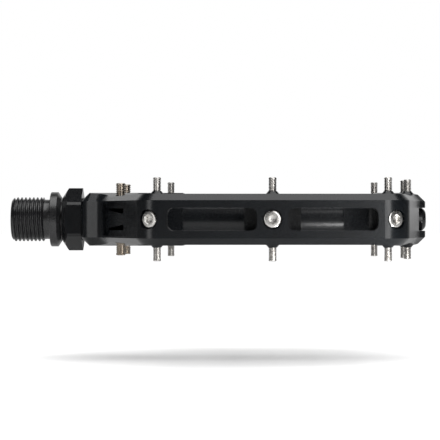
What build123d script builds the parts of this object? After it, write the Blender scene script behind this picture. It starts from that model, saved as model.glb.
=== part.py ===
from build123d import *
import math
import os

# Flat pedal. Millimetres, +Z up. The origin is on the axle's axis, at the face that seats on the crank,
# and +X runs along the axle away from the crank. The pedal is the same above and below, front and rear.

# ---- crank end of the axle
THREAD_RADIUS = 14.2875 / 2  # 9/16 in crank thread, over the crests
THREAD_REACH = 12.6  # seat to the end of the thread
THREAD_CHAMFER = 0.9
RELIEF_RADIUS = 6.4
RELIEF_WIDTH = 2.4
FLANGE_RADIUS = 8.83
FLANGE_WIDTH = 2.4
FLANGE_CONE = 1.0
FLANGE_BACK_RADIUS = 7.2
KEY_FLATS = 8.0  # hex key socket in the thread's end
KEY_DEPTH = 8.0

# ---- hex collar
COLLAR_GAP = 0.5
COLLAR_FLATS = 18.0
COLLAR_CORNER_RADIUS = 10.1  # corners are turned off
COLLAR_HEX_WIDTH = 6.4
COLLAR_FACE_RADIUS = 7.3
COLLAR_CHAMFER_LENGTH = 1.9
COLLAR_THREAD_RADIUS = 7.0
COLLAR_THREAD_LENGTH = 4.1
COLLAR_THREAD_RELIEF = 0.4

# ---- pedal body, plan view
MID_TO_NOSE = 61.5  # middle pins to the collar's seat
MID_TO_END = 48.9  # middle pins to the outboard end
HALF_CHORD = 52.5  # axle to the front or rear face
CORNER_RADIUS = 8.0
NOSE_HALF_WIDTH = 10.6
NOSE_RADIUS = 3.5
NOSE_SIDE_LENGTH = 6.9
NOSE_SIDE_FLARE = 2.0
ARM_FOOT_RADIUS = 4.0
MID_TO_ARM_CORNER = 39.7
ARM_WIDTH = 9.4
MID_TO_END_CORNER = 40.8
END_SHOULDER_Y = 14.0
END_SHOULDER_SETBACK = 2.3
END_FACE_HALF_WIDTH = 10.5
END_RADIUS = 3.5
RAIL_WIDTH = 10.0
STRUT_HALF_WIDTH = 6.0
STRUT_CORNER_RADIUS = 6.0
OPENING_CORNER_RADIUS = 4.0
MID_TO_END_WEB = 30.5
END_WEB_SLANT = 3.0
OPENING_TAIL_Y = 16.5

# ---- pedal body, heights above the axle
CUT_MARGIN = 1.0  # cuts run this far past the faces they open
EDGE_HALF_HEIGHT = 5.8  # outer faces, below their 45 degree bevels
SPINE_HALF_HEIGHT = 8.5
SPINE_FLAT_Y = 8.0
VALLEY_HALF_HEIGHT = 7.15
VALLEY_Y = 16.0
WEB_HALF_HEIGHT = 7.45
WEB_Y = 30.0
RAIL_HALF_HEIGHT = 7.75
END_SLOPE_LENGTH = 4.6
END_SLOPE_STEP = 2.4
END_SLOPE_HALF_HEIGHT = 7.85
END_SLOPE_LOW = 5.5

# ---- axle housing inside the body
BORE_RADIUS = 6.5
BARREL_RADIUS = 7.9
HOUSING_HALF_WIDTH = 9.5
HOUSING_CHAMFER = 1.2
MID_TO_INNER_HOUSING = 28.8
MID_TO_OUTER_HOUSING = 22.9
NUT_BAY_RADIUS = 5.2
NUT_BAY_LENGTH = 4.1
END_GROOVE_HALF_HEIGHT = 3.7
END_GROOVE_DEPTH = 2.4

# ---- windows in the rails and pockets in the arms
WINDOW_HALF_HEIGHT = 3.45
WINDOW_START = 4.7
WINDOW_END = 32.0
WINDOW_RADIUS = 2.0
ARM_RECESS_DEPTH = 0.8
ARM_RECESS_HALF_HEIGHT = 5.1
ARM_RECESS_START = 2.0
ARM_RECESS_END = 27.8
WEDGE_START = 5.5
WEDGE_END = 21.4
WEDGE_DEPTH = 5.0
WEDGE_OUTER = 3.45
WEDGE_TIP = 2.8
WEDGE_INNER = 1.6

# ---- pins and screws
PIN_RADIUS = 1.25
PIN_HALF_LENGTH = 12.75
PIN_CUP_RADIUS = 0.8
PIN_CUP_DEPTH = 0.5
PIN_TO_EDGE = 5.0
CORNER_PIN_X = 35.1  # from the middle pins
END_PIN_SETBACK = 5.7
END_PIN_Y = 9.5
BOSS_BASE_RADIUS = 2.05
BOSS_TOP_RADIUS = 1.3
BOSS_HEIGHT = 0.85
BOSS_ROOT = 1.0
END_BOSS_BASE_HEIGHT = 8.1
NOSE_PIN_RADIUS = 1.55
NOSE_PIN_HALF_LENGTH = 11.5
MID_TO_NOSE_PIN = 48.4
NOSE_PIN_Y = 13.3
LOCK_HEAD_RADIUS = 2.7
LOCK_HEAD_HEIGHT = 2.0
LOCK_HEAD_CLEARANCE = 0.3
LOCK_BORE_MARGIN = 2.0  # the counterbore runs this far out of the body
LOCK_HEAD_SUNK = 0.3  # below the rail's face
CORNER_LOCK_HEAD_SUNK = 0.6  # below the rounded corner, on its screw's axis
LOCK_THREAD_RADIUS = 1.5
LOCK_KEY_FLATS = 2.5
LOCK_KEY_DEPTH = 1.2
LOCK_HEAD_CHAMFER = 0.3
LOCK_ANGLE = 34.0  # how far the corner lock screws turn from the rail's normal
GRUB_KEY_FLATS = 1.5
GRUB_KEY_DEPTH = 1.0

# ---- bearings
RUNNING_CLEARANCE = 0.03
SEAL_JOURNAL_RADIUS = 5.0
COLLAR_JOURNAL_RADIUS = 5.5
COLLAR_BORE_CLEARANCE = 0.3
SEAL_GAP = 0.5
SEAL_WIDTH = 3.0
SEAL_LIP = 0.8
NEEDLE_GAP = 0.5
NEEDLE_CUP_LENGTH = 10.0
NEEDLE_CUP_WALL = 0.5
NEEDLE_RADIUS = 0.75
NEEDLE_LENGTH = 7.0
NEEDLE_COUNT = 14
NEEDLE_CAGE_HALF_WALL = 0.3
NEEDLE_CAGE_LENGTH = 8.2
BALL_RING_WIDTH = 5.0
BALL_JOURNAL_RADIUS = 3.0
BALL_INNER_RING_RADIUS = 4.05
BALL_OUTER_RING_RADIUS = 5.45  # inside of the outer ring
BALL_RADIUS = 1.19
BALL_COUNT = 8
BALL_CAGE_HALF_WALL = 0.3
BALL_CAGE_HALF_WIDTH = 1.7
SHIELD_THICKNESS = 0.25
SHIELD_SEAT = 0.35
SHIELD_OVERLAP = 0.15
SHIELD_INNER_RADIUS = 4.3
SPACER_WIDTH = 1.0
SPACER_WALL = 0.85
WASHER_THICKNESS = 0.5
WASHER_RADIUS = 4.0
NUT_FLATS = 8.0
NUT_LENGTH = 3.0
AXLE_END_GAP = 0.5
END_WALL = 1.4  # between the nut bay and the groove
AXLE_SHOULDER_RADIUS = 3.75

# ---- end plug
PLUG_HEAD_RADIUS = 3.65
PLUG_HEAD_HEIGHT = 3.1
PLUG_CROWN_HEIGHT = 1.2
PLUG_CROWN_DROP = 0.35  # share of the crown's height, halfway up its curve
PLUG_CROWN_MIDDLE = 0.84  # share of the head's radius there
PLUG_CROWN_FLAT = 0.62  # share of the head's radius that is flat on top
PLUG_STEM_RADIUS = 2.5
PLUG_KEY_FLATS = 3.0
PLUG_KEY_DEPTH = 1.6
ORING_INNER_RADIUS = 2.65
ORING_OUTER_RADIUS = 3.35
ORING_HEIGHT = 0.55

# ---- places along the axle, worked out from the sizes above
FLANGE_BACK_X = FLANGE_WIDTH + FLANGE_CONE
COLLAR_X = FLANGE_BACK_X + COLLAR_GAP
BODY_X = COLLAR_X + COLLAR_HEX_WIDTH
MID_X = BODY_X + MID_TO_NOSE
END_X = MID_X + MID_TO_END
COLLAR_END_X = BODY_X + COLLAR_THREAD_LENGTH
SEAL_X = COLLAR_END_X + SEAL_GAP
NEEDLE_X = SEAL_X + SEAL_WIDTH + NEEDLE_GAP
GROOVE_FLOOR_X = END_X - END_GROOVE_DEPTH
END_PIN_X = END_X - END_PIN_SETBACK
AXLE_END_X = GROOVE_FLOOR_X - END_WALL - AXLE_END_GAP
BALL_SEAT_X = AXLE_END_X + AXLE_END_GAP - NUT_BAY_LENGTH
OUTER_BALL_X = BALL_SEAT_X - BALL_RING_WIDTH
INNER_BALL_X = OUTER_BALL_X - SPACER_WIDTH - BALL_RING_WIDTH
RAIL_PIN_Y = HALF_CHORD - PIN_TO_EDGE
RAIL_INNER_Y = HALF_CHORD - RAIL_WIDTH
NEEDLE_PITCH_RADIUS = BORE_RADIUS - NEEDLE_CUP_WALL - RUNNING_CLEARANCE - NEEDLE_RADIUS
NEEDLE_TRACK_RADIUS = NEEDLE_PITCH_RADIUS - NEEDLE_RADIUS - RUNNING_CLEARANCE
NEEDLE_MID_X = NEEDLE_X + NEEDLE_CUP_LENGTH / 2
BALL_PITCH_RADIUS = (BALL_INNER_RING_RADIUS + BALL_OUTER_RING_RADIUS) / 2
BALL_GROOVE_RADIUS = BALL_RADIUS + RUNNING_CLEARANCE

os.makedirs("parts", exist_ok=True)


def save(builder, name):
    """Label a finished piece and write it under the same name."""
    builder.part.label = name
    export_step(builder.part, f"parts/{name}.step")


def turned(points):
    """A ring or shaft about the axle's axis, from the (x, radius) corners of its half section."""
    with BuildPart() as ring:
        with BuildSketch(Plane.XZ):
            with BuildLine():
                Polyline(*points, close=True)
            make_face()
        revolve(axis=Axis.X)
    return ring


def sleeve(start_x, length, inner_radius, outer_radius):
    """A plain ring about the axle's axis."""
    end_x = start_x + length
    corners = [(start_x, inner_radius), (end_x, inner_radius), (end_x, outer_radius), (start_x, outer_radius)]
    return turned(corners)


def across_x(x):
    """The plane across the axle at x, facing the outboard end."""
    return Plane(origin=(x, 0, 0), x_dir=(0, 1, 0), z_dir=(1, 0, 0))


def mirrored_points(points):
    """A closed outline from its front half: the same points again, behind the axle."""
    return points + [(x, -y) for x, y in reversed(points)]


# ================================================================ axle and what is fixed to it
axle_profile = [
    (-THREAD_REACH, 0),
    (-THREAD_REACH, THREAD_RADIUS - THREAD_CHAMFER),
    (-THREAD_REACH + THREAD_CHAMFER, THREAD_RADIUS),
    (-RELIEF_WIDTH, THREAD_RADIUS),
    (-RELIEF_WIDTH, RELIEF_RADIUS),
    (0, RELIEF_RADIUS),
    (0, FLANGE_RADIUS),
    (FLANGE_WIDTH, FLANGE_RADIUS),
    (FLANGE_BACK_X, FLANGE_BACK_RADIUS),
    (FLANGE_BACK_X, COLLAR_JOURNAL_RADIUS),
    (COLLAR_END_X, COLLAR_JOURNAL_RADIUS),
    (COLLAR_END_X, SEAL_JOURNAL_RADIUS),
    (SEAL_X + SEAL_WIDTH, SEAL_JOURNAL_RADIUS),
    (SEAL_X + SEAL_WIDTH, NEEDLE_TRACK_RADIUS),
    (NEEDLE_X + NEEDLE_CUP_LENGTH, NEEDLE_TRACK_RADIUS),
    (INNER_BALL_X, AXLE_SHOULDER_RADIUS),
    (INNER_BALL_X, BALL_JOURNAL_RADIUS),
    (AXLE_END_X, BALL_JOURNAL_RADIUS),
    (AXLE_END_X, 0),
]
with BuildPart() as axle:
    with BuildSketch(Plane.XZ):
        with BuildLine():
            Polyline(*axle_profile, close=True)
        make_face()
    revolve(axis=Axis.X)
    with BuildSketch(across_x(-THREAD_REACH)):
        RegularPolygon(radius=KEY_FLATS / 2, side_count=6, major_radius=False)
    extrude(amount=KEY_DEPTH, mode=Mode.SUBTRACT)
save(axle, "axle")

BALL_RINGS = {"inner": INNER_BALL_X, "outer": OUTER_BALL_X}

for place, ring_x in BALL_RINGS.items():
    with BuildPart() as race:
        with BuildSketch(Plane.XZ):
            with Locations((ring_x + BALL_RING_WIDTH / 2, (BALL_JOURNAL_RADIUS + BALL_INNER_RING_RADIUS) / 2)):
                Rectangle(BALL_RING_WIDTH, BALL_INNER_RING_RADIUS - BALL_JOURNAL_RADIUS)
            with Locations((ring_x + BALL_RING_WIDTH / 2, BALL_PITCH_RADIUS)):
                Circle(BALL_GROOVE_RADIUS, mode=Mode.SUBTRACT)
        revolve(axis=Axis.X)
    save(race, f"ball_bearing_inner_ring_{place}")

inner_spacer = sleeve(OUTER_BALL_X - SPACER_WIDTH, SPACER_WIDTH, BALL_JOURNAL_RADIUS,
                      BALL_JOURNAL_RADIUS + SPACER_WALL)
save(inner_spacer, "inner_ring_spacer")

axle_washer = sleeve(BALL_SEAT_X, WASHER_THICKNESS, BALL_JOURNAL_RADIUS, WASHER_RADIUS)
save(axle_washer, "axle_washer")

with BuildPart() as axle_nut:
    with BuildSketch(across_x(BALL_SEAT_X + WASHER_THICKNESS)):
        RegularPolygon(radius=NUT_FLATS / 2, side_count=6, major_radius=False)
        Circle(BALL_JOURNAL_RADIUS, mode=Mode.SUBTRACT)
    extrude(amount=NUT_LENGTH)
save(axle_nut, "axle_nut")

# ================================================================ rolling elements and their cages
for place, ring_x in BALL_RINGS.items():
    ball_plane = across_x(ring_x + BALL_RING_WIDTH / 2)
    with BuildPart() as balls:
        with Locations(ball_plane):
            with PolarLocations(BALL_PITCH_RADIUS, BALL_COUNT):
                Sphere(BALL_RADIUS)
    save(balls, f"ball_bearing_balls_{place}")

    with BuildPart() as cage:
        with BuildSketch(ball_plane):
            Circle(BALL_PITCH_RADIUS + BALL_CAGE_HALF_WALL)
            Circle(BALL_PITCH_RADIUS - BALL_CAGE_HALF_WALL, mode=Mode.SUBTRACT)
        extrude(amount=BALL_CAGE_HALF_WIDTH, both=True)
        with Locations(ball_plane):
            with PolarLocations(BALL_PITCH_RADIUS, BALL_COUNT):
                Cylinder(BALL_GROOVE_RADIUS, BALL_CAGE_HALF_WALL * 4, rotation=(0, 90, 0), mode=Mode.SUBTRACT)
    save(cage, f"ball_bearing_cage_{place}")

with BuildPart() as needles:
    with BuildSketch(across_x(NEEDLE_MID_X - NEEDLE_LENGTH / 2)):
        with PolarLocations(NEEDLE_PITCH_RADIUS, NEEDLE_COUNT):
            Circle(NEEDLE_RADIUS)
    extrude(amount=NEEDLE_LENGTH)
save(needles, "needle_rollers")

with BuildPart() as needle_cage:
    with BuildSketch(across_x(NEEDLE_MID_X)):
        Circle(NEEDLE_PITCH_RADIUS + NEEDLE_CAGE_HALF_WALL)
        Circle(NEEDLE_PITCH_RADIUS - NEEDLE_CAGE_HALF_WALL, mode=Mode.SUBTRACT)
    extrude(amount=NEEDLE_CAGE_LENGTH / 2, both=True)
    with BuildSketch(across_x(NEEDLE_MID_X)):
        with PolarLocations(NEEDLE_PITCH_RADIUS, NEEDLE_COUNT):
            Circle(NEEDLE_RADIUS + RUNNING_CLEARANCE)
    extrude(amount=NEEDLE_LENGTH / 2 + RUNNING_CLEARANCE, both=True, mode=Mode.SUBTRACT)
save(needle_cage, "needle_cage")

# ================================================================ what turns with the body
with BuildPart() as hex_collar:
    with BuildSketch(across_x(COLLAR_X)):
        RegularPolygon(radius=COLLAR_FLATS / 2, side_count=6, major_radius=False, rotation=30)
    extrude(amount=COLLAR_HEX_WIDTH)
    with BuildSketch(Plane.XZ):
        with BuildLine():
            Polyline(
                (COLLAR_X, 0),
                (COLLAR_X, COLLAR_FACE_RADIUS),
                (COLLAR_X + COLLAR_CHAMFER_LENGTH, COLLAR_CORNER_RADIUS),
                (BODY_X, COLLAR_CORNER_RADIUS),
                (BODY_X, 0),
                close=True,
            )
        make_face()
    revolve(axis=Axis.X, mode=Mode.INTERSECT)
    with BuildSketch(across_x(BODY_X)):
        Circle(COLLAR_THREAD_RADIUS)
    extrude(amount=COLLAR_THREAD_LENGTH)
    with BuildSketch(across_x(COLLAR_X)):
        Circle(COLLAR_JOURNAL_RADIUS + COLLAR_BORE_CLEARANCE)
    extrude(amount=COLLAR_HEX_WIDTH + COLLAR_THREAD_LENGTH, mode=Mode.SUBTRACT)
save(hex_collar, "hex_collar")

seal_lip_radius = SEAL_JOURNAL_RADIUS + RUNNING_CLEARANCE
lip_seal = turned([
    (SEAL_X, BORE_RADIUS),
    (SEAL_X, seal_lip_radius + SEAL_LIP / 2),
    (SEAL_X + SEAL_LIP, seal_lip_radius),
    (SEAL_X + SEAL_LIP * 2, seal_lip_radius + SEAL_LIP / 2),
    (SEAL_X + SEAL_WIDTH - SEAL_LIP, seal_lip_radius + SEAL_LIP / 2),
    (SEAL_X + SEAL_WIDTH, BORE_RADIUS - SEAL_LIP / 2),
    (SEAL_X + SEAL_WIDTH, BORE_RADIUS),
])
save(lip_seal, "lip_seal")

cup_inner_radius = BORE_RADIUS - NEEDLE_CUP_WALL
cup_mouth_radius = NEEDLE_PITCH_RADIUS - NEEDLE_CAGE_HALF_WALL
cup_end_x = NEEDLE_X + NEEDLE_CUP_LENGTH
needle_cup = turned([
    (NEEDLE_X, cup_mouth_radius),
    (NEEDLE_X + NEEDLE_CUP_WALL, cup_mouth_radius),
    (NEEDLE_X + NEEDLE_CUP_WALL, cup_inner_radius),
    (cup_end_x - NEEDLE_CUP_WALL, cup_inner_radius),
    (cup_end_x - NEEDLE_CUP_WALL, cup_mouth_radius),
    (cup_end_x, cup_mouth_radius),
    (cup_end_x, BORE_RADIUS),
    (NEEDLE_X, BORE_RADIUS),
])
save(needle_cup, "needle_bearing_cup")

shield_outer_radius = BALL_OUTER_RING_RADIUS + SHIELD_OVERLAP
for place, ring_x in BALL_RINGS.items():
    ring_mid_x = ring_x + BALL_RING_WIDTH / 2
    with BuildPart() as race:
        with BuildSketch(Plane.XZ):
            with Locations((ring_mid_x, (BALL_OUTER_RING_RADIUS + BORE_RADIUS) / 2)):
                Rectangle(BALL_RING_WIDTH, BORE_RADIUS - BALL_OUTER_RING_RADIUS)
            with Locations((ring_mid_x, BALL_PITCH_RADIUS)):
                Circle(BALL_GROOVE_RADIUS, mode=Mode.SUBTRACT)
            for seat_x in (ring_x + SHIELD_SEAT / 2, ring_x + BALL_RING_WIDTH - SHIELD_SEAT / 2):
                with Locations((seat_x, BALL_OUTER_RING_RADIUS)):
                    Rectangle(SHIELD_SEAT, SHIELD_OVERLAP * 2, mode=Mode.SUBTRACT)
        revolve(axis=Axis.X)
    save(race, f"ball_bearing_outer_ring_{place}")

    shield_starts = {
        "crank_side": ring_x + SHIELD_SEAT - SHIELD_THICKNESS,
        "end_side": ring_x + BALL_RING_WIDTH - SHIELD_SEAT,
    }
    for side, shield_x in shield_starts.items():
        shield = sleeve(shield_x, SHIELD_THICKNESS, SHIELD_INNER_RADIUS, shield_outer_radius)
        save(shield, f"bearing_shield_{place}_{side}")

outer_spacer = sleeve(OUTER_BALL_X - SPACER_WIDTH, SPACER_WIDTH, BORE_RADIUS - SPACER_WALL, BORE_RADIUS)
save(outer_spacer, "outer_ring_spacer")

# ================================================================ where the pins and screws stand
PIN_PLACES = {
    "front_inboard": (MID_X - CORNER_PIN_X, -RAIL_PIN_Y),
    "front_middle": (MID_X, -RAIL_PIN_Y),
    "front_outboard": (MID_X + CORNER_PIN_X, -RAIL_PIN_Y),
    "rear_inboard": (MID_X - CORNER_PIN_X, RAIL_PIN_Y),
    "rear_middle": (MID_X, RAIL_PIN_Y),
    "rear_outboard": (MID_X + CORNER_PIN_X, RAIL_PIN_Y),
    "end_front": (END_PIN_X, -END_PIN_Y),
    "end_rear": (END_PIN_X, END_PIN_Y),
}
NOSE_PIN_PLACES = {
    "front": (MID_X - MID_TO_NOSE_PIN, -NOSE_PIN_Y),
    "rear": (MID_X - MID_TO_NOSE_PIN, NOSE_PIN_Y),
}


def lock_direction(pin_name):
    """The way a side lock screw faces: out of the rail, turned outwards at the corners."""
    facing_y = -1 if pin_name.startswith("front") else 1
    turn = {"inboard": -1, "middle": 0, "outboard": 1}[pin_name.split("_")[1]]
    angle = math.radians(LOCK_ANGLE * turn)
    return (math.sin(angle), facing_y * math.cos(angle))


def lock_reach(pin_name):
    """Distance from a rail pin's axis out to the body's surface, along its lock screw."""
    dir_x, dir_y = lock_direction(pin_name)
    if dir_x == 0:
        return PIN_TO_EDGE
    # the rounded corner's centre is one corner radius in from the rail's face and from the body's side
    end_slope = (MID_TO_END - END_SHOULDER_SETBACK - MID_TO_END_CORNER) / (HALF_CHORD - END_SHOULDER_Y)
    arm_slope = (MID_TO_NOSE - NOSE_SIDE_LENGTH - MID_TO_ARM_CORNER) / (
        HALF_CHORD - NOSE_HALF_WIDTH - NOSE_SIDE_FLARE)
    slope, corner_x = (end_slope, MID_TO_END_CORNER) if dir_x > 0 else (arm_slope, MID_TO_ARM_CORNER)
    centre_x = corner_x + slope * CORNER_RADIUS - CORNER_RADIUS * math.hypot(1, slope)
    off_x = CORNER_PIN_X - centre_x
    off_y = CORNER_RADIUS - PIN_TO_EDGE
    along = off_x * abs(dir_x) + off_y * abs(dir_y)
    return -along + math.sqrt(along**2 - off_x**2 - off_y**2 + CORNER_RADIUS**2)


def lock_seat(pin_name):
    """Distance from a rail pin's axis out to the seat of its lock screw's head."""
    sunk = LOCK_HEAD_SUNK if pin_name.endswith("middle") else CORNER_LOCK_HEAD_SUNK
    return lock_reach(pin_name) - sunk - LOCK_HEAD_HEIGHT


def lock_plane(pin_name, distance):
    """The plane across a lock screw's axis, this far from its pin's axis, facing out."""
    dir_x, dir_y = lock_direction(pin_name)
    pin_x, pin_y = PIN_PLACES[pin_name]
    origin = (pin_x + dir_x * distance, pin_y + dir_y * distance, 0)
    return Plane(origin=origin, x_dir=(0, 0, 1), z_dir=(dir_x, dir_y, 0))


RAIL_PINS = [pin_name for pin_name in PIN_PLACES if not pin_name.startswith("end")]
END_PINS = [pin_name for pin_name in PIN_PLACES if pin_name.startswith("end")]

# ================================================================ pedal body
arm_foot = (BODY_X + NOSE_SIDE_LENGTH, -(NOSE_HALF_WIDTH + NOSE_SIDE_FLARE))
arm_corner = (MID_X - MID_TO_ARM_CORNER, -HALF_CHORD)
arm_run = (arm_corner[0] - arm_foot[0], arm_corner[1] - arm_foot[1])
arm_length = math.hypot(*arm_run)
arm_dir = (arm_run[0] / arm_length, arm_run[1] / arm_length)
end_shoulder = (END_X - END_SHOULDER_SETBACK, -END_SHOULDER_Y)
plan_front = [
    (BODY_X, -NOSE_HALF_WIDTH),
    arm_foot,
    arm_corner,
    (MID_X + MID_TO_END_CORNER, -HALF_CHORD),
    end_shoulder,
    (END_X, -END_FACE_HALF_WIDTH),
]
plan_radii_front = [NOSE_RADIUS, ARM_FOOT_RADIUS, CORNER_RADIUS, CORNER_RADIUS, END_RADIUS, END_RADIUS]
plan = mirrored_points(plan_front)
plan_radii = plan_radii_front + plan_radii_front[::-1]

# the arm's inner side runs parallel to its outer side
arm_offset_x = ARM_WIDTH / abs(arm_dir[1])


def arm_inner_x(y):
    """X of the arm's inner side at a distance y in front of the axle."""
    return arm_foot[0] + arm_offset_x + (y + arm_foot[1]) * arm_dir[0] / -arm_dir[1]


inboard_opening = mirrored_points([
    (MID_X - STRUT_HALF_WIDTH, -RAIL_INNER_Y),
    (arm_inner_x(RAIL_INNER_Y), -RAIL_INNER_Y),
    (arm_inner_x(OPENING_TAIL_Y), -OPENING_TAIL_Y),
])
outboard_opening = mirrored_points([
    (MID_X + STRUT_HALF_WIDTH, -RAIL_INNER_Y),
    (MID_X + MID_TO_END_WEB, -RAIL_INNER_Y),
    (MID_X + MID_TO_END_WEB + END_WEB_SLANT, -OPENING_TAIL_Y),
])
opening_radii_front = [STRUT_CORNER_RADIUS, OPENING_CORNER_RADIUS, OPENING_CORNER_RADIUS]
opening_radii = opening_radii_front + opening_radii_front[::-1]

crown_half = [
    (SPINE_FLAT_Y, SPINE_HALF_HEIGHT),
    (VALLEY_Y, VALLEY_HALF_HEIGHT),
    (WEB_Y, WEB_HALF_HEIGHT),
    (RAIL_INNER_Y, RAIL_HALF_HEIGHT),
    (HALF_CHORD + CUT_MARGIN, RAIL_HALF_HEIGHT),
    (HALF_CHORD + CUT_MARGIN, 0),
]
crown = [(-y, z) for y, z in reversed(crown_half)] + crown_half
cap_height = SPINE_HALF_HEIGHT - EDGE_HALF_HEIGHT
inner_housing_end_x = MID_X - MID_TO_INNER_HOUSING
outer_housing_x = MID_X + MID_TO_OUTER_HOUSING

with BuildPart() as upper_half:
    # bevelled block of the body's plan
    with BuildSketch(Plane.XY):
        with BuildLine():
            FilletPolyline(*plan, radius=plan_radii, close=True)
        make_face()
    extrude(amount=EDGE_HALF_HEIGHT)
    with BuildSketch(Plane.XY.offset(EDGE_HALF_HEIGHT)):
        with BuildLine():
            FilletPolyline(*plan, radius=plan_radii, close=True)
        make_face()
    extrude(amount=cap_height, taper=45)
    # the cross section: a spine over the axle, a shallow valley each side, and flat rails
    with BuildSketch(across_x(BODY_X)):
        with BuildLine():
            Polyline(*crown, close=True)
        make_face()
    extrude(amount=END_X - BODY_X, mode=Mode.INTERSECT)
    # the spine stops short of the barrel, and falls away at the outboard end
    with BuildSketch(Plane.XZ):
        with BuildLine():
            Polyline(
                (inner_housing_end_x, RAIL_HALF_HEIGHT),
                (MID_X + MID_TO_END_WEB, RAIL_HALF_HEIGHT),
                (MID_X + MID_TO_END_WEB, SPINE_HALF_HEIGHT + CUT_MARGIN),
                (inner_housing_end_x, SPINE_HALF_HEIGHT + CUT_MARGIN),
                close=True,
            )
        make_face()
        with BuildLine():
            Polyline(
                (END_X - END_SLOPE_LENGTH, SPINE_HALF_HEIGHT),
                (END_X - END_SLOPE_STEP, END_SLOPE_HALF_HEIGHT),
                (END_X, END_SLOPE_LOW),
                (END_X, SPINE_HALF_HEIGHT + CUT_MARGIN),
                (END_X - END_SLOPE_LENGTH, SPINE_HALF_HEIGHT + CUT_MARGIN),
                close=True,
            )
        make_face()
    extrude(amount=VALLEY_Y, both=True, mode=Mode.SUBTRACT)
    # openings between the rails, each side of the middle strut
    for opening in (inboard_opening, outboard_opening):
        with BuildSketch(Plane.XY):
            with BuildLine():
                FilletPolyline(*opening, radius=opening_radii, close=True)
            make_face()
        extrude(amount=SPINE_HALF_HEIGHT, mode=Mode.SUBTRACT)
    # axle housings, from the nose and from the outboard web
    housing_section = [
        (HOUSING_HALF_WIDTH, 0),
        (HOUSING_HALF_WIDTH, RAIL_HALF_HEIGHT - HOUSING_CHAMFER),
        (HOUSING_HALF_WIDTH - HOUSING_CHAMFER, RAIL_HALF_HEIGHT),
    ]
    housing_spans = (
        (BODY_X + NOSE_SIDE_LENGTH, inner_housing_end_x),
        (outer_housing_x, MID_X + MID_TO_END_WEB + END_WEB_SLANT),
    )
    for start_x, end_x in housing_spans:
        with BuildSketch(across_x(start_x)):
            with BuildLine():
                Polyline(*housing_section, *[(-y, z) for y, z in reversed(housing_section)], close=True)
            make_face()
        extrude(amount=end_x - start_x)
    # the inboard housing keeps the full height of the spine
    with BuildSketch(across_x(BODY_X + NOSE_SIDE_LENGTH)):
        with BuildLine():
            Polyline(
                (SPINE_FLAT_Y, RAIL_HALF_HEIGHT - HOUSING_CHAMFER),
                (SPINE_FLAT_Y, RAIL_HALF_HEIGHT),
                (SPINE_FLAT_Y - HOUSING_CHAMFER, SPINE_HALF_HEIGHT),
                (HOUSING_CHAMFER - SPINE_FLAT_Y, SPINE_HALF_HEIGHT),
                (-SPINE_FLAT_Y, RAIL_HALF_HEIGHT),
                (-SPINE_FLAT_Y, RAIL_HALF_HEIGHT - HOUSING_CHAMFER),
                close=True,
            )
        make_face()
    extrude(amount=inner_housing_end_x - BODY_X - NOSE_SIDE_LENGTH)
    # barrel between the housings
    with BuildSketch(across_x(inner_housing_end_x)):
        Circle(BARREL_RADIUS)
        with Locations((0, -BARREL_RADIUS)):
            Rectangle(BARREL_RADIUS * 2, BARREL_RADIUS * 2, mode=Mode.SUBTRACT)
    extrude(amount=outer_housing_x - inner_housing_end_x)
    # conical bosses round the pins
    for pin_name, (pin_x, pin_y) in PIN_PLACES.items():
        boss_z = END_BOSS_BASE_HEIGHT if pin_name in END_PINS else RAIL_HALF_HEIGHT
        with Locations((pin_x, pin_y, boss_z + (BOSS_HEIGHT - BOSS_ROOT) / 2)):
            Cone(
                BOSS_BASE_RADIUS + (BOSS_BASE_RADIUS - BOSS_TOP_RADIUS) * BOSS_ROOT / BOSS_HEIGHT,
                BOSS_TOP_RADIUS,
                BOSS_HEIGHT + BOSS_ROOT,
            )

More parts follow.
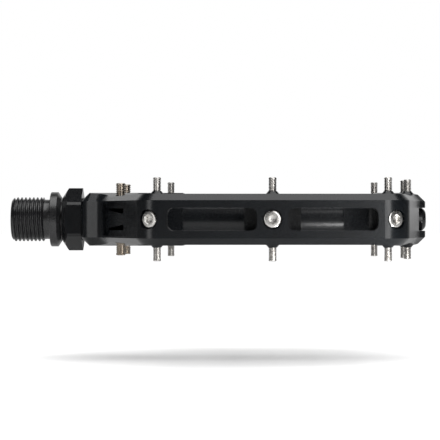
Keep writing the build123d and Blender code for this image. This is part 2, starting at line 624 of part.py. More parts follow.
with BuildPart() as pedal_body:
    add(upper_half.part)
    mirror(about=Plane.XY)
    # stepped bore for the axle, its seal and its bearings
    with BuildSketch(Plane.XZ):
        with BuildLine():
            Polyline(
                (BODY_X, 0),
                (BODY_X, COLLAR_THREAD_RADIUS),
                (COLLAR_END_X + COLLAR_THREAD_RELIEF, COLLAR_THREAD_RADIUS),
                (COLLAR_END_X + COLLAR_THREAD_RELIEF, BORE_RADIUS),
                (BALL_SEAT_X, BORE_RADIUS),
                (BALL_SEAT_X, NUT_BAY_RADIUS),
                (BALL_SEAT_X + NUT_BAY_LENGTH, NUT_BAY_RADIUS),
                (BALL_SEAT_X + NUT_BAY_LENGTH, PLUG_STEM_RADIUS),
                (END_X, PLUG_STEM_RADIUS),
                (END_X, 0),
                close=True,
            )
        make_face()
    revolve(axis=Axis.X, mode=Mode.SUBTRACT)
    # groove across the outboard end
    with BuildSketch(across_x(GROOVE_FLOOR_X)):
        Rectangle(END_SHOULDER_Y * 2 + CUT_MARGIN, END_GROOVE_HALF_HEIGHT * 2)
    extrude(amount=END_GROOVE_DEPTH, mode=Mode.SUBTRACT)
    # windows through the rails, with a broken edge, and pockets in the arms
    window_mid = (WINDOW_START + WINDOW_END) / 2
    window_length = WINDOW_END - WINDOW_START
    for facing in (1, -1):
        rail_face = Plane.XZ.offset(facing * HALF_CHORD)
        window_places = [(MID_X - window_mid, 0), (MID_X + window_mid, 0)]
        with BuildSketch(rail_face):
            with Locations(*window_places):
                RectangleRounded(window_length, WINDOW_HALF_HEIGHT * 2, WINDOW_RADIUS)
        extrude(amount=-facing * (RAIL_WIDTH + CUT_MARGIN), mode=Mode.SUBTRACT)
        arm_face = Plane(
            origin=(arm_foot[0], facing * arm_foot[1], 0),
            x_dir=(arm_dir[0], facing * arm_dir[1], 0),
            z_dir=(arm_dir[1], -facing * arm_dir[0], 0),
        )
        recess_mid = (ARM_RECESS_START + ARM_RECESS_END) / 2
        with BuildSketch(arm_face):
            with Locations((recess_mid, 0)):
                Rectangle(ARM_RECESS_END - ARM_RECESS_START, ARM_RECESS_HALF_HEIGHT * 2)
        extrude(amount=-ARM_RECESS_DEPTH, mode=Mode.SUBTRACT)
        with BuildSketch(arm_face):
            for side in (1, -1):
                with BuildLine():
                    Polyline(
                        (WEDGE_START, side * WEDGE_TIP),
                        (WEDGE_START, side * WEDGE_OUTER),
                        (WEDGE_END, side * WEDGE_OUTER),
                        (WEDGE_END, side * WEDGE_INNER),
                        close=True,
                    )
                make_face()
        extrude(amount=-(ARM_RECESS_DEPTH + WEDGE_DEPTH), mode=Mode.SUBTRACT)
    # holes for the pins
    with Locations(*[(x, y, 0) for x, y in PIN_PLACES.values()]):
        Cylinder(PIN_RADIUS, PIN_HALF_LENGTH * 2, mode=Mode.SUBTRACT)
    with Locations(*[(x, y, 0) for x, y in NOSE_PIN_PLACES.values()]):
        Cylinder(NOSE_PIN_RADIUS, NOSE_PIN_HALF_LENGTH * 2, mode=Mode.SUBTRACT)
    # seats and threads for the lock screws
    for pin_name in RAIL_PINS:
        seat = lock_seat(pin_name)
        with BuildSketch(lock_plane(pin_name, seat)):
            Circle(LOCK_HEAD_RADIUS + LOCK_HEAD_CLEARANCE)
        extrude(amount=LOCK_HEAD_HEIGHT + LOCK_BORE_MARGIN, mode=Mode.SUBTRACT)
        with BuildSketch(lock_plane(pin_name, 0)):
            Circle(LOCK_THREAD_RADIUS)
        extrude(amount=seat, mode=Mode.SUBTRACT)
    with Locations(*[(END_PIN_X, PIN_PLACES[pin_name][1], 0) for pin_name in END_PINS]):
        Cylinder(
            LOCK_THREAD_RADIUS,
            GROOVE_FLOOR_X - END_PIN_X,
            rotation=(0, 90, 0),
            align=(Align.CENTER, Align.CENTER, Align.MIN),
            mode=Mode.SUBTRACT,
        )
save(pedal_body, "pedal_body")

# ================================================================ pins, screws and the end plug
def stud(place, radius, half_length):
    """A headless pin that stands out of both faces, with a cupped tip at each end."""
    with BuildPart() as pin:
        with Locations((*place, 0)):
            Cylinder(radius, half_length * 2)
        for end in (1, -1):
            with Locations((*place, end * (half_length - PIN_CUP_DEPTH / 2))):
                Cone(
                    PIN_CUP_RADIUS if end < 0 else PIN_CUP_RADIUS / 2,
                    PIN_CUP_RADIUS / 2 if end < 0 else PIN_CUP_RADIUS,
                    PIN_CUP_DEPTH,
                    mode=Mode.SUBTRACT,
                )
    return pin


for pin_name, place in PIN_PLACES.items():
    save(stud(place, PIN_RADIUS, PIN_HALF_LENGTH), f"traction_pin_{pin_name}")

for pin_name, place in NOSE_PIN_PLACES.items():
    save(stud(place, NOSE_PIN_RADIUS, NOSE_PIN_HALF_LENGTH), f"nose_pin_{pin_name}")

for pin_name in RAIL_PINS:
    seat = lock_seat(pin_name)
    with BuildPart() as lock_screw:
        with BuildSketch(lock_plane(pin_name, seat)):
            Circle(LOCK_HEAD_RADIUS)
        extrude(amount=LOCK_HEAD_HEIGHT)
        facing = lock_plane(pin_name, 0)
        rim = lock_screw.faces().sort_by(Axis(facing.origin, facing.z_dir))[-1].edges()
        chamfer(rim, LOCK_HEAD_CHAMFER)
        with BuildSketch(lock_plane(pin_name, seat + LOCK_HEAD_HEIGHT)):
            RegularPolygon(radius=LOCK_KEY_FLATS / 2, side_count=6, major_radius=False)
        extrude(amount=-LOCK_KEY_DEPTH, mode=Mode.SUBTRACT)
        with BuildSketch(lock_plane(pin_name, PIN_RADIUS)):
            Circle(LOCK_THREAD_RADIUS)
        extrude(amount=seat - PIN_RADIUS)
    save(lock_screw, f"lock_screw_{pin_name}")

for pin_name in END_PINS:
    grub_end = Plane(origin=(END_PIN_X + PIN_RADIUS, PIN_PLACES[pin_name][1], 0), x_dir=(0, 1, 0),
                     z_dir=(1, 0, 0))
    grub_length = GROOVE_FLOOR_X - END_PIN_X - PIN_RADIUS
    with BuildPart() as grub_screw:
        with BuildSketch(grub_end):
            Circle(LOCK_THREAD_RADIUS)
        extrude(amount=grub_length)
        with BuildSketch(grub_end.offset(grub_length)):
            RegularPolygon(radius=GRUB_KEY_FLATS / 2, side_count=6, major_radius=False)
        extrude(amount=-GRUB_KEY_DEPTH, mode=Mode.SUBTRACT)
    save(grub_screw, f"grub_screw_{pin_name}")

plug_stem_x = BALL_SEAT_X + NUT_BAY_LENGTH
plug_top_x = GROOVE_FLOOR_X + PLUG_HEAD_HEIGHT
with BuildPart() as end_plug:
    with BuildSketch(Plane.XZ):
        with BuildLine():
            Polyline(
                (plug_stem_x, 0),
                (plug_stem_x, PLUG_STEM_RADIUS),
                (GROOVE_FLOOR_X, PLUG_STEM_RADIUS),
                (GROOVE_FLOOR_X, ORING_INNER_RADIUS),
                (GROOVE_FLOOR_X + ORING_HEIGHT, ORING_INNER_RADIUS),
                (GROOVE_FLOOR_X + ORING_HEIGHT, ORING_OUTER_RADIUS),
                (GROOVE_FLOOR_X, ORING_OUTER_RADIUS),
                (GROOVE_FLOOR_X, PLUG_HEAD_RADIUS),
                (plug_top_x - PLUG_CROWN_HEIGHT, PLUG_HEAD_RADIUS),
            )
            ThreePointArc(
                (plug_top_x - PLUG_CROWN_HEIGHT, PLUG_HEAD_RADIUS),
                (plug_top_x - PLUG_CROWN_HEIGHT * PLUG_CROWN_DROP, PLUG_HEAD_RADIUS * PLUG_CROWN_MIDDLE),
                (plug_top_x, PLUG_HEAD_RADIUS * PLUG_CROWN_FLAT),
            )
            Polyline((plug_top_x, PLUG_HEAD_RADIUS * PLUG_CROWN_FLAT), (plug_top_x, 0), (plug_stem_x, 0))
        make_face()
    revolve(axis=Axis.X)
    with BuildSketch(across_x(plug_top_x)):
        RegularPolygon(radius=PLUG_KEY_FLATS / 2, side_count=6, major_radius=False)
    extrude(amount=-PLUG_KEY_DEPTH, mode=Mode.SUBTRACT)
save(end_plug, "end_plug")

plug_o_ring = sleeve(GROOVE_FLOOR_X, ORING_HEIGHT, ORING_INNER_RADIUS, ORING_OUTER_RADIUS)
save(plug_o_ring, "plug_o_ring")
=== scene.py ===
import math

import bpy
from mathutils import Matrix, Vector


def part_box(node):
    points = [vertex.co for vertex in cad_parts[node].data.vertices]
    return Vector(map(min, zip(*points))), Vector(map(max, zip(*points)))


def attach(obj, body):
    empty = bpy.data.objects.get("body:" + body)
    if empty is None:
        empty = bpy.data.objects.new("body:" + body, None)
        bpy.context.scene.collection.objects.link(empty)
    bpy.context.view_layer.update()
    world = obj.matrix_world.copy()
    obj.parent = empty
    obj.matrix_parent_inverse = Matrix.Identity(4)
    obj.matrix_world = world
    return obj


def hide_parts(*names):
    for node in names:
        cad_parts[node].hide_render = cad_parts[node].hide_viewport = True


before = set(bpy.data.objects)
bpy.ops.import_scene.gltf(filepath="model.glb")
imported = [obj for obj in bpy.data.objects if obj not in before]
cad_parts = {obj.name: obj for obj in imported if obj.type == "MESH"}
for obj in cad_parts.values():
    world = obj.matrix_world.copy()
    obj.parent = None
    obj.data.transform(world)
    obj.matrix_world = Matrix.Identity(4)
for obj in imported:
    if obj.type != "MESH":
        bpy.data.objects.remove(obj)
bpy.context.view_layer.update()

# A flat pedal seen level from its leading edge. Metres, unless a heading says mm.
# +X runs along the axle away from the crank, and +Z is up.
MM = 0.001

# ---- sizes read from the CAD frame
AXLE_LOW, AXLE_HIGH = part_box("axle")
MIDDLE_LOW, MIDDLE_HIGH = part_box("traction_pin_front_middle")
MID_X = (MIDDLE_LOW.x + MIDDLE_HIGH.x) / 2

# ---- thread form, as shares of half a pitch
ROOT_SHARE = 0.2
FLANK_SHARE = 0.6

# ---- axle, in mm from the crank seat
THREAD_END = AXLE_LOW.x / MM
THREAD_MAJOR = 14.2875 / 2  # 9/16 in over the crests, as a radius
THREAD_PITCH = 25.4 / 20
THREAD_DEPTH = 0.72
THREAD_START = -2.4
THREAD_RINGS_PER_TURN = 16
THREAD_RUN_OUT = 0.2
THREAD_LEAD_IN = 0.9
THREAD_END_EDGE = 0.15  # the end face stops this far inside the lead-in
RELIEF_RADIUS = 6.4
RELIEF_STEP = 0.35
RELIEF_FILLET = 0.3
FLANGE_RADIUS = 8.83
FLANGE_WIDTH = 2.4
FLANGE_EDGE = 0.2
FLANGE_BACK_X = 3.4
FLANGE_BACK_RADIUS = 7.2
FLANGE_BACK_EDGE = 0.1
SOCKET_FLATS = 8.0
SOCKET_DEPTH = 8.0
SOCKET_MOUTH = 0.5  # wider across flats at its chamfered mouth
SOCKET_DRILL_RADIUS = 3.7
SOCKET_DRILL_POINT = 1.4
COLLAR_JOURNAL_END = 14.4
COLLAR_JOURNAL_RADIUS = 5.5
SEAL_JOURNAL_END = 17.9
SEAL_JOURNAL_RADIUS = 5.0
NEEDLE_TRACK_END = 28.4
NEEDLE_TRACK_RADIUS = 4.41
BALL_SHOULDER_X = 101.6
BALL_SHOULDER_RADIUS = 3.75
BALL_JOURNAL_RADIUS = 3.0
JOURNAL_STEP = 0.05
AXLE_END_CHAMFER = 0.4
AXLE_SEGMENTS = 144

# ---- pins and screws, in mm
PIN_PITCH = 0.45
PIN_THREAD_DEPTH = 0.22
NOSE_PIN_PITCH = 0.62
NOSE_PIN_THREAD_DEPTH = 0.3
LOCK_HEAD_RADIUS = 2.7
LOCK_HEAD_HEIGHT = 2.0
LOCK_KEY_FLATS = 2.5
LOCK_KEY_DEPTH = 1.2
LOCK_KEY_MOUTH = 0.3  # wider across flats at its chamfered mouth
LOCK_DRILL_RADIUS = 1.0
LOCK_DRILL_POINT = 0.25
LOCK_THREAD_RADIUS = 1.48
LOCK_TIP_RADIUS = 1.3
LOCK_TIP_CHAMFER = 0.15
LOCK_HEAD_EDGE = 0.1
LOCK_SEGMENTS = 72
LOCK_ANGLE = 34.0  # degrees that the corner screws turn from the middle one
PIN_CUP_SHARE = 0.62  # cup radius as a share of the pin's
PIN_CUP_DEPTH = 0.45
PIN_CUP_SLOPE_DEPTH = 0.3
PIN_CUP_FLOOR_SHARE = 0.6  # of the cup's radius
PIN_TIP_CHAMFER = 0.28
PIN_TIP_CHAMFER_LENGTH = 0.2
PIN_TIP_EDGE = 0.06
PIN_RUN_OUT = 0.3
PIN_RINGS_PER_TURN = 8
PIN_SEGMENTS = 28

# ---- stage
FLOOR_Z = -0.045
CAMERA_DISTANCE = 0.735
IMAGE_PIXELS = 440
PIXELS_PER_METRE = 3080  # at the axle's distance
VANISHING_X = 272.6
VANISHING_Y = 219.3
SENSOR_MM = 36
WORLD_FRONT = 0.03
WORLD_BACK = 0.75
WORLD_RAMP = (0.6, 0.9)  # cosine of the angle from straight behind the object
FLOOR_HALF_SIZE = 6
FLOOR_GREY = 0.8
FLOOR_PAINTED_LIGHT_UNDER = 0.22  # painted light: camera-only white added under the object, least at the shadow's centre
FLOOR_PAINTED_LIGHT_REACH = 0.13  # distance at which that painted white is full, lightening the shadow's ends
SHADOW_X = 0.055

# ---- finishes
CLOUD_RANGE = (0.35, 0.7)
CLOUD_DETAIL = 4.0
GRAIN_RANGE = (0.3, 0.7)
GRAIN_DETAIL = 3.0
GRAIN_HEIGHT = 0.00002


# ================================================================ mesh helpers
def hex_radius(flats, angle):
    """Distance from a hexagon's centre to its edge, at an angle."""
    turn = (angle + math.pi / 6) % (math.pi / 3) - math.pi / 6
    return flats / 2 / math.cos(turn)


def thread_radius(major, depth, phase):
    """Radius of a thread at a share of its pitch: narrow crest, straight flanks, narrow root."""
    share = abs((phase % 1.0) - 0.5) * 2  # 1 at the crest, 0 at the root
    flank = min(max((share - ROOT_SHARE) / FLANK_SHARE, 0), 1)
    return major - depth * (1 - flank)


def ring_mesh(name, rings, segments, sharp_degrees=35):
    """A closed mesh about the local Z axis from rings of (height, radius), in mm.

    A radius may be a number or a function of the angle. The first and last rings close to a point."""
    verts = []
    faces = []
    starts = []
    for height, radius in rings:
        starts.append(len(verts))
        if radius == 0:
            verts.append((0, 0, height * MM))
            continue
        for step in range(segments):
            angle = 2 * math.pi * step / segments
            reach = radius(angle) if callable(radius) else radius
            verts.append((reach * math.cos(angle) * MM, reach * math.sin(angle) * MM, height * MM))
    for here in range(len(rings) - 1):
        low, high = starts[here], starts[here + 1]
        low_point, high_point = rings[here][1] == 0, rings[here + 1][1] == 0
        for step in range(segments):
            following = (step + 1) % segments
            if low_point:
                faces.append((low, high + following, high + step))
            elif high_point:
                faces.append((low + step, low + following, high))
            else:
                faces.append((low + step, low + following, high + following, high + step))
    mesh = bpy.data.meshes.new(name)
    mesh.from_pydata(verts, [], faces)
    mesh.validate()
    mesh.shade_smooth()
    mesh.set_sharp_from_angle(angle=math.radians(sharp_degrees))
    return mesh


def place(name, mesh, matrix, body, material, slot, *nodes):
    """Link a mesh as a piece on a body, in place of CAD nodes."""
    piece = bpy.data.objects.new(name, mesh)
    bpy.context.scene.collection.objects.link(piece)
    if not mesh.materials:
        mesh.materials.append(material)
    piece.matrix_world = matrix
    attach(piece, body)
    if nodes:
        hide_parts(*nodes)
    return piece


def threaded_rings(start, end, major, depth, pitch, samples, fade):
    """Rings of a right-hand thread from start to end, in mm, that runs out smoothly at both ends."""
    count = int(round((end - start) / pitch * samples))
    rings = []
    for index in range(count + 1):
        height = start + (end - start) * index / count
        near_end = min(height - start, end - height)
        cut = depth * min(1, max(0, near_end / fade))

        def radius(angle, height=height, cut=cut):
            return thread_radius(major, cut, height / pitch - angle / (2 * math.pi))

        rings.append((height, radius))
    return rings


# ================================================================ materials
def new_material(name):
    """A material with a Principled shader and its node tree."""
    material = bpy.data.materials.new(name)
    material.use_nodes = True
    return material, material.node_tree.nodes, material.node_tree.links


def add_noise(nodes, links, scale, detail):
    """Noise in object coordinates, so that the grain stays with the piece."""
    coordinates = nodes.new("ShaderNodeTexCoord")
    noise = nodes.new("ShaderNodeTexNoise")
    noise.inputs["Scale"].default_value = scale
    noise.inputs["Detail"].default_value = detail
    links.new(coordinates.outputs["Object"], noise.inputs["Vector"])
    return noise


def surface_finish(name, colours, metallic, roughness, grain, grain_bump, cloud, specular):
    """A procedural finish: clouded colour, and a fine grain in the roughness and the surface."""
    material, nodes, links = new_material(name)
    shader = nodes["Principled BSDF"]
    shader.inputs["Metallic"].default_value = metallic
    shader.inputs["Specular IOR Level"].default_value = specular
    clouds = add_noise(nodes, links, cloud, CLOUD_DETAIL)
    tint = nodes.new("ShaderNodeValToRGB")
    for element, position, colour in zip(tint.color_ramp.elements, CLOUD_RANGE, colours):
        element.position = position
        element.color = (*colour, 1)
    links.new(clouds.outputs["Fac"], tint.inputs["Fac"])
    links.new(tint.outputs["Color"], shader.inputs["Base Color"])
    fine = add_noise(nodes, links, grain, GRAIN_DETAIL)
    gloss = nodes.new("ShaderNodeMapRange")
    gloss.inputs["From Min"].default_value = GRAIN_RANGE[0]
    gloss.inputs["From Max"].default_value = GRAIN_RANGE[1]
    gloss.inputs["To Min"].default_value = roughness[0]
    gloss.inputs["To Max"].default_value = roughness[1]
    links.new(fine.outputs["Fac"], gloss.inputs["Value"])
    links.new(gloss.outputs["Result"], shader.inputs["Roughness"])
    bump = nodes.new("ShaderNodeBump")
    bump.inputs["Strength"].default_value = grain_bump
    bump.inputs["Distance"].default_value = GRAIN_HEIGHT
    links.new(fine.outputs["Fac"], bump.inputs["Height"])
    links.new(bump.outputs["Normal"], shader.inputs["Normal"])
    return material


# name: two colours, metallic, roughness range, grain scale, grain strength, cloud scale, specular level
FINISHES = {
    "black_anodised": (
        ((0.0022, 0.003, 0.0042), (0.004, 0.0055, 0.0072)),
        0.0, (0.2, 0.3), 5200, 0.25, 90, 0.5,
    ),
    "gloss_anodised": (
        ((0.0025, 0.003, 0.004), (0.0045, 0.005, 0.006)),
        0.0, (0.16, 0.24), 4200, 0.15, 120, 0.5,
    ),
    "black_plated_steel": (
        ((0.01, 0.01, 0.011), (0.02, 0.02, 0.021)),
        0.15, (0.24, 0.36), 3800, 0.2, 200, 1.0,
    ),
    "bright_stainless": (
        ((0.58, 0.56, 0.54), (0.75, 0.73, 0.7)),
        1.0, (0.2, 0.32), 2600, 0.3, 500, 0.5,
    ),
    "warm_nickel": (
        ((0.47, 0.42, 0.36), (0.63, 0.56, 0.48)),
        1.0, (0.22, 0.34), 2600, 0.3, 500, 0.5,
    ),
    "screw_stainless": (
        ((0.78, 0.76, 0.73), (0.9, 0.88, 0.85)),
        1.0, (0.2, 0.32), 2600, 0.3, 500, 0.5,
    ),
    "bearing_steel": (
        ((0.5, 0.5, 0.5), (0.6, 0.6, 0.6)),
        1.0, (0.12, 0.2), 3000, 0.1, 300, 0.5,
    ),
    "nylon_cage": (
        ((0.42, 0.39, 0.3), (0.5, 0.47, 0.38)),
        0.0, (0.4, 0.55), 2500, 0.3, 300, 0.5,
    ),
    "gloss_plug": (
        ((0.008, 0.008, 0.009), (0.014, 0.014, 0.015)),
        0.0, (0.12, 0.2), 3500, 0.1, 200, 0.5,
    ),
    "seal_rubber": (
        ((0.012, 0.012, 0.012), (0.022, 0.022, 0.022)),
        0.0, (0.55, 0.7), 3000, 0.5, 300, 0.5,
    ),
}
finishes = {name: surface_finish(name, *values) for name, values in FINISHES.items()}

NODE_FINISHES = {
    "pedal_body": "black_anodised",
    "hex_collar": "gloss_anodised",
    "end_plug": "gloss_plug",
    "lip_seal": "seal_rubber",
    "plug_o_ring": "seal_rubber",
    "axle_nut": "black_plated_steel",
    "axle_washer": "black_plated_steel",
}


def node_finish(name):
    """The name of a CAD node's finish."""
    if name in NODE_FINISHES:
        return NODE_FINISHES[name]
    if "cage" in name:
        return "nylon_cage"
    if name.startswith("grub"):
        return "black_plated_steel"
    return "bearing_steel"


for node_name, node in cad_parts.items():
    node.data.materials.clear()
    node.data.materials.append(finishes[node_finish(node_name)])


# ================================================================ axle
def make_axle():
    """The axle with its helical crank thread, hex socket, relief, flange and stepped journals."""
    def socket(angle):
        return hex_radius(SOCKET_FLATS, angle)

    def socket_mouth(angle):
        return hex_radius(SOCKET_FLATS + SOCKET_MOUTH, angle)

    lead_in_radius = THREAD_MAJOR - THREAD_LEAD_IN
    end_x = AXLE_HIGH.x / MM
    rings = [
        (THREAD_END + SOCKET_DEPTH + SOCKET_DRILL_POINT, 0),
        (THREAD_END + SOCKET_DEPTH, SOCKET_DRILL_RADIUS),
        (THREAD_END + SOCKET_DEPTH, socket),
        (THREAD_END + SOCKET_MOUTH / 2, socket),
        (THREAD_END, socket_mouth),
        (THREAD_END, lead_in_radius - THREAD_END_EDGE),
        (THREAD_END + 0.1, lead_in_radius),
    ]
    thread_from = THREAD_END + THREAD_RUN_OUT
    for height, radius in threaded_rings(thread_from, THREAD_START, THREAD_MAJOR, THREAD_DEPTH, THREAD_PITCH,
                                         THREAD_RINGS_PER_TURN, THREAD_RUN_OUT):
        lead_in = lead_in_radius + (height - THREAD_END)
        rings.append((height, lambda angle, radius=radius, lead_in=lead_in: min(radius(angle), lead_in)))
    rings += [
        (THREAD_START + RELIEF_STEP, RELIEF_RADIUS),
        (-RELIEF_FILLET, RELIEF_RADIUS),
        (-0.08, RELIEF_RADIUS + 0.08),
        (0, RELIEF_RADIUS + RELIEF_FILLET),
        (0, FLANGE_RADIUS - FLANGE_EDGE),
        (FLANGE_EDGE, FLANGE_RADIUS),
        (FLANGE_WIDTH - 0.12, FLANGE_RADIUS),
        (FLANGE_WIDTH, FLANGE_RADIUS - 0.1),
        (FLANGE_BACK_X - FLANGE_BACK_EDGE, FLANGE_BACK_RADIUS + FLANGE_BACK_EDGE),
        (FLANGE_BACK_X, FLANGE_BACK_RADIUS),
        (FLANGE_BACK_X, COLLAR_JOURNAL_RADIUS),
        (COLLAR_JOURNAL_END, COLLAR_JOURNAL_RADIUS),
        (COLLAR_JOURNAL_END + JOURNAL_STEP, SEAL_JOURNAL_RADIUS),
        (SEAL_JOURNAL_END, SEAL_JOURNAL_RADIUS),
        (SEAL_JOURNAL_END + JOURNAL_STEP, NEEDLE_TRACK_RADIUS),
        (NEEDLE_TRACK_END, NEEDLE_TRACK_RADIUS),
        (BALL_SHOULDER_X, BALL_SHOULDER_RADIUS),
        (BALL_SHOULDER_X + JOURNAL_STEP, BALL_JOURNAL_RADIUS),
        (end_x - AXLE_END_CHAMFER, BALL_JOURNAL_RADIUS),
        (end_x, BALL_JOURNAL_RADIUS - AXLE_END_CHAMFER),
        (end_x, 0),
    ]
    along_x = Matrix.Rotation(math.radians(90), 4, "Y")
    mesh = ring_mesh("axle_turned", rings, AXLE_SEGMENTS)
    place("axle_turned", mesh, along_x, "axle", finishes["black_plated_steel"], "axle_steel", "axle")


make_axle()


# ================================================================ pins
def pin_mesh(name, radius, half_length, pitch, depth):
    """A headless threaded pin with a cupped, chamfered tip at each end."""
    cup = radius * PIN_CUP_SHARE
    tip = [
        (half_length - PIN_TIP_CHAMFER_LENGTH, radius - PIN_TIP_EDGE),
        (half_length, radius - PIN_TIP_CHAMFER),
        (half_length, cup),
        (half_length - PIN_CUP_SLOPE_DEPTH, cup * PIN_CUP_FLOOR_SHARE),
        (half_length - PIN_CUP_DEPTH, 0),
    ]
    rings = [(-height, reach) for height, reach in reversed(tip)]
    rings += threaded_rings(-half_length + PIN_RUN_OUT, half_length - PIN_RUN_OUT, radius, depth, pitch,
                            PIN_RINGS_PER_TURN, PIN_RUN_OUT)
    rings += tip
    return ring_mesh(name, rings, PIN_SEGMENTS, 60)


def node_centre(name):
    """The middle of a CAD node's box."""
    low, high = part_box(name)
    return (low + high) / 2


def pin_mesh_like(name, node_name, pitch, depth):
    """A pin mesh with the radius and length of a CAD node."""
    low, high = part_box(node_name)
    return pin_mesh(name, (high.x - low.x) / 2 / MM, (high.z - low.z) / 2 / MM, pitch, depth)


traction_mesh = pin_mesh_like("traction_pin", "traction_pin_front_middle", PIN_PITCH, PIN_THREAD_DEPTH)
nose_mesh = pin_mesh_like("nose_pin", "nose_pin_front", NOSE_PIN_PITCH, NOSE_PIN_THREAD_DEPTH)
for node_name in sorted(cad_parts):
    if node_name.startswith("traction_pin"):
        where = Matrix.Translation(node_centre(node_name))
        place(node_name + "_threaded", traction_mesh, where, "platform", finishes["bright_stainless"],
              "pin_steel", node_name)
    elif node_name.startswith("nose_pin"):
        where = Matrix.Translation(node_centre(node_name))
        place(node_name + "_threaded", nose_mesh, where, "platform", finishes["warm_nickel"],
              "nose_pin_steel", node_name)


# ================================================================ lock screws
def lock_screw_mesh(length):
    """A low cap screw with a hex socket: the tip is at height 0 and the head's face at its length."""
    def key(angle):
        return hex_radius(LOCK_KEY_FLATS, angle)

    def key_mouth(angle):
        return hex_radius(LOCK_KEY_FLATS + LOCK_KEY_MOUTH, angle)

    seat = length - LOCK_HEAD_HEIGHT
    rings = [
        (0, 0),
        (0, LOCK_TIP_RADIUS),
        (LOCK_TIP_CHAMFER, LOCK_THREAD_RADIUS),
        (seat, LOCK_THREAD_RADIUS),
        (seat, LOCK_HEAD_RADIUS - LOCK_HEAD_EDGE),
        (seat + LOCK_HEAD_EDGE, LOCK_HEAD_RADIUS),
        # the rounded rim of the head
        (length - 0.45, LOCK_HEAD_RADIUS),
        (length - 0.2, LOCK_HEAD_RADIUS - 0.1),
        (length - 0.06, LOCK_HEAD_RADIUS - 0.3),
        (length, LOCK_HEAD_RADIUS - 0.6),
        (length, key_mouth),
        (length - LOCK_KEY_MOUTH / 2, key),
        (length - LOCK_KEY_DEPTH, key),
        (length - LOCK_KEY_DEPTH, LOCK_DRILL_RADIUS),
        (length - LOCK_KEY_DEPTH - LOCK_DRILL_POINT, 0),
    ]
    return ring_mesh("lock_screw", rings, LOCK_SEGMENTS, 30)


def lock_screw(node_name):
    """Stand a detailed lock screw where its CAD screw is."""
    facing_y = -1 if "_front_" in node_name else 1
    turn = {"inboard": -1, "middle": 0, "outboard": 1}[node_name.split("_")[-1]]
    angle = math.radians(LOCK_ANGLE * turn)
    facing = Vector((math.sin(angle), facing_y * math.cos(angle), 0))
    sideways = Vector((-facing.y, facing.x, 0))
    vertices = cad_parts[node_name].data.vertices
    reach = [vertex.co.dot(facing) for vertex in vertices]
    spread = [vertex.co.dot(sideways) for vertex in vertices]
    tip, face = min(reach), max(reach)
    origin = facing * tip + sideways * (min(spread) + max(spread)) / 2
    origin.z = node_centre(node_name).z
    matrix = Matrix.Translation(origin) @ facing.to_track_quat("Z", "Y").to_matrix().to_4x4()
    mesh = lock_screw_mesh((face - tip) / MM)
    place(node_name + "_socket_head", mesh, matrix, "platform", finishes["screw_stainless"], "screw_steel",
          node_name)


for node_name in sorted(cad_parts):
    if node_name.startswith("lock_screw"):
        lock_screw(node_name)


# ================================================================ stage, light and camera
def stage_with_painted_light(name, grey, painted_light_under):
    """A diffuse pale material with painted light: white added for camera rays, least under the object and
    rising outward over the ends of the cast shadow.
    """
    material, nodes, links = new_material(name)
    shader = nodes["Principled BSDF"]
    shader.inputs["Base Color"].default_value = (grey, grey, grey, 1)
    shader.inputs["Roughness"].default_value = 0.9
    shader.inputs["Specular IOR Level"].default_value = 0.0
    shader.inputs["Emission Color"].default_value = (1, 1, 1, 1)
    coordinates = nodes.new("ShaderNodeTexCoord")
    distance = nodes.new("ShaderNodeVectorMath")
    distance.operation = "DISTANCE"
    distance.inputs[1].default_value = (SHADOW_X, 0, FLOOR_Z)
    links.new(coordinates.outputs["Object"], distance.inputs[0])
    # Painted light: the camera-only white grows with distance from the shadow's centre and lightens the
    # shadow's ends.
    spread = nodes.new("ShaderNodeMapRange")
    spread.interpolation_type = "SMOOTHSTEP"
    spread.inputs["From Min"].default_value = 0.0
    spread.inputs["From Max"].default_value = FLOOR_PAINTED_LIGHT_REACH
    spread.inputs["To Min"].default_value = painted_light_under
    spread.inputs["To Max"].default_value = 1.0
    links.new(distance.outputs["Value"], spread.inputs["Value"])
    path = nodes.new("ShaderNodeLightPath")
    lift = nodes.new("ShaderNodeMath")
    lift.operation = "MULTIPLY"
    links.new(path.outputs["Is Camera Ray"], lift.inputs[0])
    links.new(spread.outputs["Result"], lift.inputs[1])
    links.new(lift.outputs[0], shader.inputs["Emission Strength"])
    return material


floor_mesh = bpy.data.meshes.new("floor")
floor_signs = ((-1, -1), (1, -1), (1, 1), (-1, 1))
floor_corners = [(x * FLOOR_HALF_SIZE, y * FLOOR_HALF_SIZE, FLOOR_Z) for x, y in floor_signs]
floor_mesh.from_pydata(floor_corners, [], [(0, 1, 2, 3)])
floor_mesh.materials.append(stage_with_painted_light("floor_with_painted_light", FLOOR_GREY, FLOOR_PAINTED_LIGHT_UNDER))
floor = bpy.data.objects.new("floor", floor_mesh)
bpy.context.scene.collection.objects.link(floor)


def softbox(name, where, towards, width, height, watts):
    """A rectangular soft light that points at a place."""
    light = bpy.data.lights.new(name, "AREA")
    light.shape = "RECTANGLE"
    light.size = width
    light.size_y = height
    light.energy = watts
    lamp = bpy.data.objects.new(name, light)
    bpy.context.scene.collection.objects.link(lamp)
    lamp.location = where
    lamp.rotation_euler = (Vector(towards) - Vector(where)).to_track_quat("-Z", "Y").to_euler()
    lamp.visible_camera = False
    return lamp


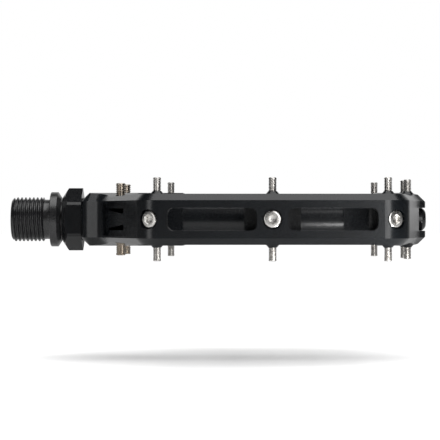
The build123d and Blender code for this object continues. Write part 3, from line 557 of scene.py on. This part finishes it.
def white_room():
    """Plain white to the camera. To other rays, bright straight behind the object and dark elsewhere."""
    world = bpy.data.worlds.new("studio")
    bpy.context.scene.world = world
    world.use_nodes = True
    nodes, links = world.node_tree.nodes, world.node_tree.links
    background = nodes["Background"]
    background.inputs["Color"].default_value = (1, 1, 1, 1)
    direction = nodes.new("ShaderNodeTexCoord")
    parts = nodes.new("ShaderNodeSeparateXYZ")
    links.new(direction.outputs["Generated"], parts.inputs["Vector"])
    behind = nodes.new("ShaderNodeMapRange")
    behind.interpolation_type = "SMOOTHSTEP"
    behind.inputs["From Min"].default_value = WORLD_RAMP[0]
    behind.inputs["From Max"].default_value = WORLD_RAMP[1]
    behind.inputs["To Min"].default_value = WORLD_FRONT
    behind.inputs["To Max"].default_value = WORLD_BACK
    links.new(parts.outputs["Y"], behind.inputs["Value"])
    path = nodes.new("ShaderNodeLightPath")
    level = nodes.new("ShaderNodeMix")
    links.new(path.outputs["Is Camera Ray"], level.inputs["Factor"])
    links.new(behind.outputs["Result"], level.inputs["A"])
    level.inputs["B"].default_value = 1.0
    links.new(level.outputs["Result"], background.inputs["Strength"])


white_room()
softbox("light_overhead", (MID_X + 0.05, -0.12, 0.7), (MID_X + 0.05, -0.12, 0), 0.72, 0.74, 3.6)
shadow_light = softbox("light_shadow", (SHADOW_X, 0, 0.7), (SHADOW_X, 0, 0), 0.65, 0.65, 2.9)
shadow_light.visible_glossy = False
softbox("light_front_high", (MID_X + 0.14, -0.42, 0.32), (MID_X + 0.02, 0, 0), 0.22, 0.09, 0.25)
softbox("light_right", (MID_X + 0.13, -0.35, 0.0), (MID_X + 0.05, 0, 0), 0.12, 0.3, 0.5)
softbox("light_left", (MID_X - 0.32, -0.3, 0.0), (MID_X - 0.04, 0, 0), 0.12, 0.3, 0.24)
softbox("light_low", (MID_X + 0.045, -0.085, -0.041), (MID_X + 0.02, -0.007, 0.004), 0.06, 0.012, 0.04)

camera_data = bpy.data.cameras.new("camera")
camera = bpy.data.objects.new("camera", camera_data)
bpy.context.scene.collection.objects.link(camera)
camera.location = (MID_X, -CAMERA_DISTANCE, 0)
camera.rotation_euler = (math.radians(90), 0, 0)
camera_data.sensor_width = SENSOR_MM
camera_data.lens = PIXELS_PER_METRE * CAMERA_DISTANCE / IMAGE_PIXELS * SENSOR_MM
camera_data.shift_x = (IMAGE_PIXELS / 2 - VANISHING_X) / IMAGE_PIXELS
camera_data.shift_y = (VANISHING_Y - IMAGE_PIXELS / 2) / IMAGE_PIXELS
camera_data.clip_start = 0.01
camera_data.clip_end = 50
bpy.context.scene.camera = camera
bpy.context.scene.view_settings.view_transform = "Standard"
